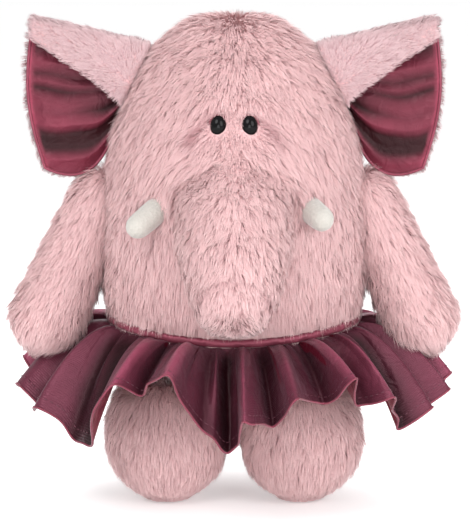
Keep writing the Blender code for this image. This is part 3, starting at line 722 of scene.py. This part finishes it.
def make_ear_lining(side, satin, edging):
    """Satin inside the fold, with creases that run across it and one long fold."""
    columns, rows = 80, 110
    rng = np.random.default_rng(5 if side == "left" else 9)
    levels, outer, inner = (np.array(row) for row in zip(*EAR_BANDS))
    tilt, turn = rng.uniform(-0.03, 0.03), rng.uniform(0, 6)
    points, fold_lights = [], []
    for v in np.linspace(0, 1, rows):
        for u in np.linspace(0, 1, columns):
            edge = min(1, (1 - u) * 9, v * 9)
            at = v + tilt * (u - 0.5) + 0.018 * math.sin(4.2 * u + turn) + 0.008 * math.sin(13 * u + 9 * v)
            share = step(0.15, 0.85, u)
            band = np.interp(at, levels, outer) * share + np.interp(at, levels, inner) * (1 - share)
            line = v - 1.02 + 0.36 * math.sin(math.pi * min(1.15 * u, 1)) ** 0.8 * (1 - 0.5 * u)
            fold = math.exp(-(line / 0.010) ** 2) * step(0.08, 0.3, u)
            belly = 0.0026 * math.sin(math.pi * u) * math.sin(math.pi * min(v * 1.2, 1))
            points.append(ear_place(side, u, v, 0.0006 + edge * (belly + 0.0030 * band + 0.0012 * fold)))
            rim = 1 - step(0.01, 0.06, 1 - u)
            # painted light: lighter on the raised bands, the rolled rim and the long fold, darker between
            # them
            fold_lights.append(max(band * (1 - rim) + 0.9 * rim, 0.95 * fold))
    made = as_mesh(f"{side}_ear_satin", points, grid_faces(columns, rows), satin)
    keep(made, "fold_light", np.clip(fold_lights, 0, 1))
    if made.data.polygons[0].normal.y > 0:
        made.data.flip_normals()
    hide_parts(f"{side}_ear_lining")
    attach(made, f"{side}_ear")
    rim = [ear_place(side, u, 0.0, EDGE_RADIUS) for u in np.linspace(0.08, 1, 30)]
    rim += [ear_place(side, 1.0, v, EDGE_RADIUS) for v in np.linspace(0.04, 0.95, 30)]
    edge = tube(f"{side}_ear_edge", rim, EDGE_RADIUS, edging)
    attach(edge, f"{side}_ear")
    return made


def make_ear(side, base):
    """The plush back, folded forward at the top."""
    node_name = f"{side}_ear_back"
    made = skin(f"{side}_ear_plush", [node_name], SMALL_VOXEL, 6)
    points, normals = points_of(made), normals_of(made)
    lining = frame["nodes"][f"{side}_ear_lining"].data
    tree = BVHTree.FromPolygons([v.co for v in lining.vertices], [tuple(p.vertices) for p in lining.polygons])
    far = np.array([tree.find_nearest(Vector(p))[3] for p in points])
    middle, _ = joint(f"{side}_ear_flap")
    way = points - np.array(middle)
    way[:, 1] = 0
    way = unit(way) + np.array((0, 0, -0.25))
    keep(made, "lay", laid(way, normals))
    front = (1 - step(-0.7, -0.2, normals[:, 1])) * step(0.0012, 0.0030, far)
    out = np.abs(points[:, 0]) - abs(middle.x)
    tip = step(0.016, 0.048, out)
    from_root = np.linalg.norm((points - np.array(middle)) * (1, 0, 0.4), axis=1)
    rim = (1 - step(0.0012, 0.0048, far)) * step(-0.75, -0.45, normals[:, 1])
    keep(made, "pile", (1.0 - front * (0.22 + 0.40 * tip)) * (0.60 + 0.40 * step(0.004, 0.03, from_root))
         * (1 - 0.72 * rim))
    keep(made, "cover", step(0.0012, 0.0018, far))
    made.data.materials.append(base)
    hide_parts(node_name)
    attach(made, f"{side}_ear")
    return made


# ================================================================ skirt
SKIRT_DEPTH = 0.057         # of the strip, from the gathered edge to the hem
SKIRT_COLUMNS, SKIRT_ROWS = 1300, 36
LOW_FOLD_RISE = 0.0050      # how much higher the hem's lowest stretches hang than the heights below
PIPING_RADIUS = 0.0021
HEM_RADIUS = 0.0006
STITCH_PITCH, STITCH_LENGTH, THREAD_HALF_WIDTH = 0.0034, 0.0022, 0.00022
# the hem's folds as (degrees from the front, height, reach from the axis as a share of the full flare)
FOLDS = [(-84, 0.0590, 1.03), (-79, 0.0500, 0.96), (-74.5, 0.0460, 0.98), (-68, 0.0520, 1.01),
         (-64, 0.0430, 0.91), (-61, 0.0346, 0.87), (-54, 0.0325, 0.87), (-47, 0.0346, 0.90),
         (-41, 0.0472, 0.99), (-36, 0.0630, 1.06), (-32.6, 0.0725, 1.03), (-31, 0.0700, 0.94),
         (-28.5, 0.0665, 0.87), (-23.4, 0.0739, 0.97), (-18.5, 0.0789, 1.06), (-15.5, 0.0790, 1.06),
         (-14.2, 0.0690, 1.00), (-12.6, 0.0591, 0.93), (-9.8, 0.0500, 0.88), (-6.4, 0.0421, 0.86),
         (-3.9, 0.0368, 0.84), (-1.1, 0.0340, 0.79), (1.3, 0.0389, 0.84), (1.6, 0.0484, 0.95),
         (2.3, 0.0574, 1.06), (4.6, 0.0561, 1.04), (8.3, 0.0527, 0.93), (12.0, 0.0503, 0.87),
         (13.6, 0.0573, 0.95), (14.0, 0.0656, 1.04), (15.6, 0.0688, 1.06), (19.6, 0.0669, 0.96),
         (24.9, 0.0630, 0.88), (28.2, 0.0625, 0.87), (29.0, 0.0660, 0.96), (29.2, 0.0744, 1.05),
         (31, 0.0770, 1.07), (34.4, 0.0682, 0.97), (38.5, 0.0597, 0.90), (41.0, 0.0605, 0.93),
         (42.0, 0.0639, 1.03), (44.5, 0.0643, 1.05), (50.4, 0.0551, 0.95), (58.0, 0.0452, 0.90),
         (61.5, 0.0390, 0.88), (64.0, 0.0435, 0.95), (68, 0.0520, 1.01), (73, 0.0470, 0.93),
         (78, 0.0600, 1.05), (83, 0.0510, 0.90), (88, 0.0660, 1.05), (97, 0.0470, 0.88),
         (106, 0.0700, 1.05), (115, 0.0470, 0.86), (125, 0.0730, 1.05), (135, 0.0470, 0.85),
         (145, 0.0720, 1.05), (154, 0.0500, 0.87), (164, 0.0740, 1.06), (173, 0.0460, 0.85),
         (182, 0.0720, 1.05), (191, 0.0480, 0.86), (201, 0.0750, 1.06), (211, 0.0470, 0.85),
         (221, 0.0720, 1.05), (231, 0.0490, 0.87), (241, 0.0720, 1.06), (250, 0.0520, 0.87),
         (259, 0.0710, 1.05), (266, 0.0500, 0.90), (271, 0.0580, 1.04)]


def around_curve(stops, count):
    """Points along a smooth closed curve through the stops, evenly spread between them."""
    stops = np.array(stops)
    size = len(stops)
    made = []
    for k in range(count):
        place = k / count * size
        i, t = int(place) % size, place - int(place)
        p0, p1, p2, p3 = (stops[(i + j) % size] for j in (-1, 0, 1, 2))
        made.append(0.5 * (2 * p1 + (p2 - p0) * t + (2 * p0 - 5 * p1 + 4 * p2 - p3) * t * t
                           + (3 * p1 - p0 - 3 * p2 + p3) * t ** 3))
    return np.array(made)


def waist_place(band, turn, out=0.0):
    """The middle of the binding's outer side at a turn in radians from the front."""
    way = Vector((math.sin(turn), -math.cos(turn), 0))
    low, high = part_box("waistband")
    found = band.find_nearest(way * 0.12 + Vector((0, 0, (low.z + high.z) / 2)))[0]
    return np.array(found) + np.array(way) * out + UP * WAIST_SIDE_RISE * math.sin(turn) ** 2


def make_skirt(satin, lining, piping, thread, stitch_tree):
    """The gathered satin with its lining, rolled hem, stitches and the piping round the waist."""
    band_mesh = frame["nodes"]["waistband"].data
    band = BVHTree.FromPolygons([v.co for v in band_mesh.vertices],
                                [tuple(p.vertices) for p in band_mesh.polygons])
    low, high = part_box("skirt_outer")
    half_width, half_depth = (high.x - low.x) / 2, (high.y - low.y) / 2
    middle_y = (high.y + low.y) / 2
    count, rows = SKIRT_COLUMNS, SKIRT_ROWS
    stops = []
    for degrees, height, share in FOLDS:
        turn = math.radians(degrees)
        stops.append((half_width * share * math.sin(turn),
                      middle_y - half_depth * share * math.cos(turn), height))
    hem = around_curve(stops, count)
    hem[:, 2] += LOW_FOLD_RISE * (1 - step(0.036, 0.066, hem[:, 2]))
    reach = count // 14
    window = np.hanning(2 * reach + 1)
    padded_hem = np.vstack((hem[-reach:], hem, hem[:reach]))
    even_hem = np.column_stack([np.convolve(padded_hem[:, k], window / window.sum(), "valid")
                                for k in range(3)])
    folds = hem - even_hem
    turns = np.arctan2(even_hem[:, 0], -(even_hem[:, 1] - middle_y))
    waist = np.array([waist_place(band, t, -0.0012) for t in turns])
    waist[:, 2] -= 0.0022
    along = np.arange(count) / count * math.tau
    rng = np.random.default_rng(11)
    gathers = sum(rng.uniform(0.5, 1) * np.cos(round(n) * along + rng.uniform(0, 6))
                  for n in rng.uniform(48, 92, 7)) / 3
    pleats = sum(rng.uniform(0.5, 1) * np.cos(round(n) * along + rng.uniform(0, 6))
                 for n in rng.uniform(24, 40, 5)) / 2.4
    outward = unit(even_hem * (1, 1, 0) - waist * (1, 1, 0))
    knee = waist + outward * 0.017 + UP * -0.001
    ridge = folds[:, 2] / np.abs(folds[:, 2]).max()
    points, fold_lights = [], []
    for r in range(rows):
        t = r / (rows - 1)
        line = (1 - t) ** 2 * waist + 2 * t * (1 - t) * knee + t * t * even_hem + folds * t ** 0.62
        wave = (0.0013 * gathers * math.exp(-t / 0.25) * min(t * 10, 1)
                + 0.0016 * pleats * math.sin(math.pi * min(t * 0.85 + 0.06, 0.80)))
        points.append(line + wave[:, None] * (UP * 0.8 + outward * 0.5))
        # painted light: lighter where the hem's folds rise and on the gathers' waves, darker where the hem
        # hangs down between them
        fold_lights.append(0.47 + 0.62 * ridge * min(0.25 + t * 3, 1) + 75 * wave)
    outer = np.array(points)
    made = {}
    for name, drop, finish_, slot in (("skirt_satin", 0.0, satin, "skirt_satin"),
                                      ("skirt_inside", 0.0004, lining, "skirt_lining")):
        sheet = outer - (UP * 0.8 + outward * 0.6)[None] * drop
        piece = as_mesh(name, sheet.reshape(-1, 3), grid_faces(count, rows, wrap_columns=True), finish_)
        keep(piece, "fold_light", np.clip(np.array(fold_lights), 0, 1).ravel())
        keep(piece, "run", np.repeat(np.linspace(0, SKIRT_DEPTH, rows), count))
        up = np.mean([p.normal.z for p in piece.data.polygons])
        if (up < 0) == (drop == 0):
            piece.data.flip_normals()
        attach(piece, "body")
        made[name] = piece
    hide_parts("skirt_outer")
    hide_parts("skirt_lining")
    edge = tube("skirt_hem", outer[-1][::2], HEM_RADIUS, piping, around=6, closed=True)
    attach(edge, "body")
    ring = [waist_place(band, t, -0.0010) for t in np.linspace(0, math.tau, 160, endpoint=False)]
    binding = tube("waist_piping", ring, PIPING_RADIUS, piping, around=14, closed=True, flat=0.8)
    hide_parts("waistband", "waist_elastic")
    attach(binding, "body")
    line = outer[-3] + UP * 0.0004 + outward * 0.0002
    path = add_object("hem_stitches", bpy.data.meshes.new("hem_stitches"))
    path.data.from_pydata([tuple(p) for p in line], [(k, (k + 1) % count) for k in range(count)], [])
    modifier = path.modifiers.new("stitches", "NODES")
    modifier.node_group = stitch_tree
    inputs = {s.name: s.identifier for s in stitch_tree.interface.items_tree if s.in_out == "INPUT"}
    sizes = {"Pitch": STITCH_PITCH, "Length": STITCH_LENGTH, "Thread": THREAD_HALF_WIDTH, "Finish": thread}
    for label, value in sizes.items():
        modifier[inputs[label]] = value
    settled(path)
    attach(path, "body")
    return made


def stitch_tree():
    """Short stitches laid end to end along a line."""
    m = Maker("running_stitch")
    pitch, length, thread = (m.size(n) for n in ("Pitch", "Length", "Thread"))
    coat = m.size("Finish", "Material")
    curve = m.node("GeometryNodeMeshToCurve", {0: m.entry.outputs[0]}).outputs[0]
    spots = m.node("GeometryNodeCurveToPoints", {"Curve": curve, "Length": pitch}, mode="LENGTH")
    bead = m.node("GeometryNodeMeshUVSphere", {0: 6, 1: 5, 2: 1.0}).outputs[0]
    half_length = m.sum("MULTIPLY", length, 0.5)
    size = m.node("ShaderNodeCombineXYZ", {0: thread, 1: thread, 2: half_length}).outputs[0]
    made = m.node("GeometryNodeInstanceOnPoints",
                  {0: spots.outputs[0], 2: bead, 5: spots.outputs[3], 6: size}).outputs[0]
    made = m.node("GeometryNodeRealizeInstances", {0: made}).outputs[0]
    made = m.node("GeometryNodeSetShadeSmooth", {0: made}).outputs[0]
    return m.result(m.node("GeometryNodeSetMaterial", {0: made, "Material": coat}).outputs[0])


# ================================================================ eyes
EYE_HALF_DEPTH = 0.0032
SOCKET_OUT, SOCKET_RADIUS = 0.0008, 0.0009      # the dark pink ring's place outside the bead, and its thickness; the ring's dark colour is painted shade in the socket


def make_eye(side, gloss, pink):
    """A glossy bead in a ring of dark pink plush, whose darkness is painted shade in the socket round it."""
    low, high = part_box(f"{side}_eye")
    middle, half = eye_middle(side), (high - low) / 2
    bm = bmesh.new()
    bmesh.ops.create_uvsphere(bm, u_segments=32, v_segments=20, radius=1)
    for vert in bm.verts:
        x, y, z = vert.co
        vert.co = Vector((x * half.x * 1.08, y * EYE_HALF_DEPTH, z * half.z * 1.14)) + middle \
            + Vector((0, -0.0006, 0))
    mesh = bpy.data.meshes.new(f"{side}_eye_bead")
    bm.to_mesh(mesh)
    bm.free()
    made = add_object(f"{side}_eye_bead", mesh, gloss)
    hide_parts(f"{side}_eye")
    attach(made, "body")
    rim = []
    for k in range(40):
        turn = math.tau * k / 40
        rim.append((middle.x + (half.x + SOCKET_OUT) * math.cos(turn), middle.y + 0.0012,
                    middle.z + (half.z + SOCKET_OUT) * math.sin(turn)))
    # the ring's dark pink is painted shade in the socket
    socket = tube(f"{side}_eye_socket", rim, SOCKET_RADIUS, pink, around=8, closed=True)
    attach(socket, "body")
    return made


# ================================================================ build
body_coat = fur_finish("long_pink_pile", FUR_ROOT, FUR_MIDDLE, FUR_TIP)
trunk_coat = fur_finish("pale_pink_pile", *TRUNK_COAT)
ear_coat = fur_finish("ear_pink_pile", *EAR_COAT)
backing = plush_base("plush_backing", BASE_PINK)
socket_shade_pink = plush_base("socket_shade_pink", SOCKET_SHADE_PINK)
# the crest strength paints highlights on the satins' folds and shade in their creases
skirt_satin = satin_finish("skirt_mauve", MAUVE, PINK_SHINE, fold_light=3.4, rib=RIB_PITCH)
inside_satin = satin_finish("skirt_burgundy", BURGUNDY, RED_SHINE)
ear_satin = satin_finish("ear_mauve", EAR_MAUVE, PINK_SHINE, fold_light=2.6)
rose_satin = satin_finish("rose_binding", ROSE, WARM_SHINE)
thread = satin_finish("thread", THREAD_ROSE, WARM_SHINE)
felt, felt_tree, felt_shader = finish("tusk_plush", Roughness=0.9, Sheen_Weight=0.5,
                                      Specular_IOR_Level=0.1)
fuzz = noise(felt_tree, 700, 4)
felt_tree.links.new(ramp(felt_tree, fuzz, ((0.3, TUSK_SHADE), (0.7, TUSK_WHITE))),
                    felt_shader.inputs["Base Color"])
bump(felt_tree, felt_shader, fuzz, 0.0006)
bead_gloss, bead_tree, bead_shader = finish("black_bead", Roughness=0.10, Coat_Weight=0.0,
                                            Specular_IOR_Level=0.14)
speck = noise(bead_tree, 300, 2)
bead_tree.links.new(ramp(bead_tree, speck, ((0.3, BEAD_BLACK), (0.7, BEAD_SPECK))),
                    bead_shader.inputs["Base Color"])
plain, plain_tree, plain_shader = finish("fastener", Roughness=0.5)
mottle = noise(plain_tree, 200)
plain_tree.links.new(ramp(plain_tree, mottle, ((0.3, WASHER_GREY), (0.7, WASHER_LIGHT))),
                     plain_shader.inputs["Base Color"])
for side in SIDES:
    washer = frame["nodes"][f"{side}_eye_washer"]
    washer.data.materials.clear()
    washer.data.materials.append(plain)

fur = fur_tree()
form = face_form()
body = make_body(form)
body.data.materials.append(backing)
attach(body, "body")
coat = dict(Blades=BODY_FUR, Pile=PILE, Width=BLADE_WIDTH, Tuft_spacing=TUFT_SPACING, Gathered=GATHERED,
            Lift=LIFT, Stray=STRAY, Finish=body_coat)
for k, (label, share) in enumerate(quarters(body).items()):
    body.data.attributes["cover"].data.foreach_set("value", share.astype(np.float32))
    grow(f"body_fur_{label}", body, fur, "body", Seed=100 + k, **coat)

TIP_SEAM_RADIUS = 0.0165
trunk_place = np.array(joint("trunk_lift")[0])
tip_low, tip_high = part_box("trunk_tip_panel")
trunk_tip = np.array((tip_low + tip_high) / 2)
trunk_way = unit(trunk_tip - trunk_place)


def trunk_lay(points, normals):
    """Down the trunk from a parting in its middle, and out from the middle of its round end."""
    spread = points - trunk_tip
    spread = spread - np.outer(spread @ trunk_way, trunk_way)
    way = np.tile(trunk_way, (len(points), 1)) + (0, 0, -0.35)
    way[:, 0] += np.sign(points[:, 0]) * 0.30 * step(0.0, 0.004, np.abs(points[:, 0]))
    share = step(-0.004, 0.010, (points - trunk_tip) @ trunk_way)[:, None]
    return way * (1 - share) + (spread / 0.030 + (0, -0.1, -0.35)) * share


def tip_seam(points):
    """How near the skin is to the upper half of the seam round the trunk's end."""
    spread = points - trunk_tip
    round_tip = np.linalg.norm(spread[:, (0, 2)], axis=1)
    seam = np.exp(-((round_tip - TIP_SEAM_RADIUS) / 0.0016) ** 2)
    return seam * step(-0.002, 0.006, spread[:, 2]) * (points[:, 1] < -0.06)


def trunk_pile(points, normals):
    """Full on the trunk's sides, shorter on its round end, in the seam and where it leaves the face."""
    end = 0.85 - 0.25 * near(points, trunk_tip, 0.02)
    seam = 1 - 0.5 * tip_seam(points)
    chin = 1 - 0.5 * near(points, trunk_tip + (0, -0.006, -0.014), 0.012)
    root = 0.6 + 0.4 * step(-0.016, 0.004, (points - trunk_place) @ trunk_way)
    return end * seam * chin * root


def trunk_cover(points, normals):
    """None on the part of the trunk that stands inside the head."""
    return step(-0.024, -0.012, (points - trunk_place) @ trunk_way)


trunk = make_limb("trunk_skin", TRUNK_NODES, "trunk", trunk_lay, trunk_pile, trunk_cover, fuller=0.0022,
                  shape=lambda made: filled(made, form, under=0.0006))
trunk.data.materials.append(backing)
keep(trunk, "shadow", 0.5 * tip_seam(points_of(trunk)))
grow("trunk_fur", trunk, fur, "trunk", Seed=200,
     **coat | dict(Blades=TRUNK_FUR, Tuft_spacing=0.0032, Gathered=0.5, Lift=0.60, Stray=0.28,
                   Finish=trunk_coat))


FOOT_HEIGHT = 0.032         # the foot is rounded in below this
FOOT_TUCK = 0.20            # of its half width, at the sole
SOLE_HEIGHT = 0.0018        # of the sole's cloth over the floor, on its short pile
TUSK_PINCH, TUSK_PINCH_REACH = 0.0024, 0.009
HAND_ASIDE, HAND_RISE = 0.093, 0.0165   # the hand's middle, from the toy's middle and the arm's lower end


def tucked_in(leg, foot):
    """Rounds a foot in towards its sole, which stands a pile's thickness off the floor."""
    points = points_of(leg)
    share = 1 - step(0.0, FOOT_HEIGHT, points[:, 2])
    points[:, :2] -= (points[:, :2] - foot[:2]) * (FOOT_TUCK * share)[:, None]
    points[:, 2] = np.maximum(points[:, 2], SOLE_HEIGHT)
    move_points(leg, points)


def down(points, normals):
    return np.tile((0.0, 0.0, -1.0), (len(points), 1))


def leg_pile(points, normals):
    """Short at the sole and where the legs meet."""
    apart = 1 - 0.45 * step(0.010, 0.004, np.abs(points[:, 0]))
    return (0.35 + 0.65 * step(0.002, 0.022, points[:, 2])) * apart


def leg_cover(points, normals):
    """Half as many blades under the foot."""
    return np.where(normals[:, 2] < -0.8, 0.5, 1.0)


def make_tusk(side, sign, felt):
    """A soft white tusk, pinched where it's sewn to the face."""
    covers = [f"{side}_tusk_skin", f"{side}_tusk_stuffing"]
    made = skin(f"{side}_tusk", covers, SMALL_VOXEL, 10)
    inner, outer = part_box(covers[0])
    root_x = inner.x if sign > 0 else outer.x
    pinch = (root_x, -0.046, outer.z - 0.003)
    swell(made, (pinch, TUSK_PINCH_REACH, -TUSK_PINCH))
    made.data.materials.append(felt)
    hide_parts(*covers)
    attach(made, "body")


for k, (side, sign) in enumerate(SIDES.items()):
    shoulder, _ = joint(f"{side}_arm_swing")
    hand = np.array(box_middle(f"{side}_arm_front_panel"))
    hand[2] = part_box(f"{side}_arm_front_panel")[0].z + HAND_RISE
    hand[0] = sign * HAND_ASIDE
    arm_way = unit(hand - np.array(shoulder))
    arm_nodes = [f"{side}_arm_{n}" for n in ("front_panel", "back_panel", "stuffing")]
    arm = make_limb(f"{side}_arm_skin", arm_nodes, f"{side}_arm",
                    lambda p, n: np.tile(arm_way, (len(p), 1)), fuller=0.0016)
    arm.data.materials.append(backing)
    grow(f"{side}_arm_fur", arm, fur, f"{side}_arm", Seed=300 + k, **coat | dict(Blades=LIMB_FUR))
    leg_nodes = [f"{side}_leg_{n}" for n in ("front_panel", "back_panel", "stuffing")] + [f"{side}_sole"]
    foot = np.array(box_middle(f"{side}_sole"))
    leg = make_limb(f"{side}_leg_skin", leg_nodes, f"{side}_leg", down, leg_pile, leg_cover,
                    shape=lambda made: tucked_in(made, foot))
    leg.data.materials.append(backing)
    grow(f"{side}_leg_fur", leg, fur, f"{side}_leg", Seed=400 + k,
         **coat | dict(Blades=LEG_FUR, Lift=LOW_LIFT))
    ear = make_ear(side, backing)
    make_ear_lining(side, ear_satin, rose_satin)
    grow(f"{side}_ear_fur", ear, fur, f"{side}_ear", Seed=500 + k,
         **coat | dict(Blades=EAR_FUR, Pile=EAR_PILE, Tuft_spacing=0.0034, Lift=LOW_LIFT, Finish=ear_coat))
    make_eye(side, bead_gloss, socket_shade_pink)
    make_tusk(side, sign, felt)

make_skirt(skirt_satin, inside_satin, rose_satin, thread, stitch_tree())

# ================================================================ studio
FLOOR_REACH = 30            # far enough that its edges never show
FLOOR_WHITE, FLOOR_GLOW = (0.93, 0.93, 0.93, 1), 0.30
WORLD_LIGHT = 0.75
# each lamp's place, size across and power in watts; the low one points under the skirt
LAMPS = {"key": ((-0.7, -1.3, 1.2), 1.0, 16), "fill": ((0.9, -1.2, 0.7), 1.0, 12),
         "back": ((0.2, 1.0, 1.3), 0.9, 13), "low": ((0.0, -1.5, 0.12), 0.7, 6)}
UNDER_SKIRT = (0, 0, 0.03)
LOOK_DOWN = math.radians(7)
LENS, SENSOR = 170, 36      # in millimetres
SEEN_HEIGHT = 0.2690        # at the toy
AIM = Vector((0.0005, 0, 0.1208))

floor = finish("studio_floor", Roughness=0.8, Base_Color=FLOOR_WHITE, Emission_Color=(1, 1, 1, 1),
               Emission_Strength=FLOOR_GLOW)[0]
corners = [(x, y, 0) for y in (-FLOOR_REACH, FLOOR_REACH) for x in (-FLOOR_REACH, FLOOR_REACH)]
as_mesh("studio", corners, grid_faces(2, 2), floor)


def lamp(name, place, aim, size, power):
    light = bpy.data.lights.new(name, "AREA")
    light.shape, light.size, light.energy = "DISK", size, power
    made = bpy.data.objects.new(name, light)
    made.location = place
    made.rotation_euler = (Vector(aim) - Vector(place)).to_track_quat("-Z", "Y").to_euler()
    bpy.context.scene.collection.objects.link(made)


middle = (cad_box[0] + cad_box[1]) / 2
for name, (place, size, power) in LAMPS.items():
    lamp(name, place, UNDER_SKIRT if name == "low" else middle, size, power)
world = bpy.data.worlds.new("studio")
world.use_nodes = True
sky = world.node_tree.nodes["Background"]
sky.inputs["Color"].default_value = (1, 1, 1, 1)
sky.inputs["Strength"].default_value = WORLD_LIGHT
bpy.context.scene.world = world

distance = LENS / SENSOR * SEEN_HEIGHT
camera = bpy.data.objects.new("camera", bpy.data.cameras.new("camera"))
camera.data.lens, camera.data.sensor_width = LENS, SENSOR
camera.location = AIM + Vector((0, -math.cos(LOOK_DOWN), math.sin(LOOK_DOWN))) * distance
camera.rotation_euler = (math.pi / 2 - LOOK_DOWN, 0, 0)
bpy.context.scene.collection.objects.link(camera)
bpy.context.scene.camera = camera
bpy.context.scene.view_settings.view_transform = "Standard"
